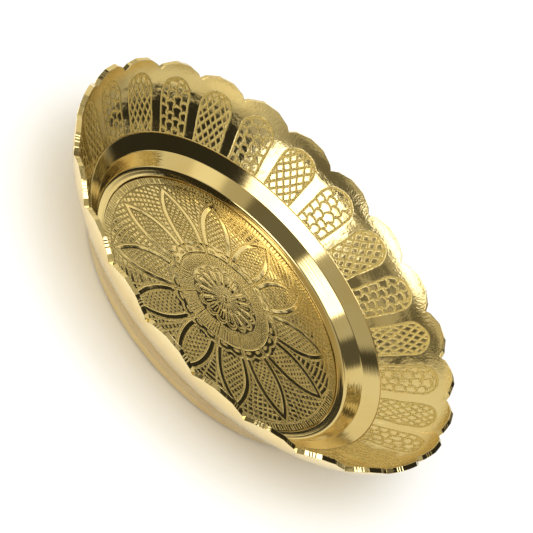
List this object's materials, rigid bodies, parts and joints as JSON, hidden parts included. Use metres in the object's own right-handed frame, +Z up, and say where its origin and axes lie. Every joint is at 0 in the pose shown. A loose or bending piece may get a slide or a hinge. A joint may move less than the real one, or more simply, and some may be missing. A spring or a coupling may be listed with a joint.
{
  "type": "brass tray",
  "caption": "Small round brass tray: a turned well with an engraved floor disc, and a flared, scalloped brim chased with tongue-shaped panels.",
  "frame": {"origin": "middle of the flat base, on the surface the tray stands on", "axes": "+Z up along the tray's axis of rotation, out of the open side; +X and +Y through the tips of scallops"},
  "size_m": [0.1516, 0.1516, 0.0258],
  "materials": {
    "polished_brass": "turned and polished to a near mirror, with fine lathe lines",
    "engraved_brass": "polished sheet with hand-cut panels and a sawn, scalloped edge",
    "antique_brass": "chased relief, satin on top and darkened in its recesses",
    "solder": "brass-coloured hard solder, filed smooth and dull"
  },
  "bodies": {
    "root": {"well": "polished_brass", "brim": "engraved_brass", "medallion": "antique_brass", "solder_seam": "solder"}
  },
  "joints": []
}
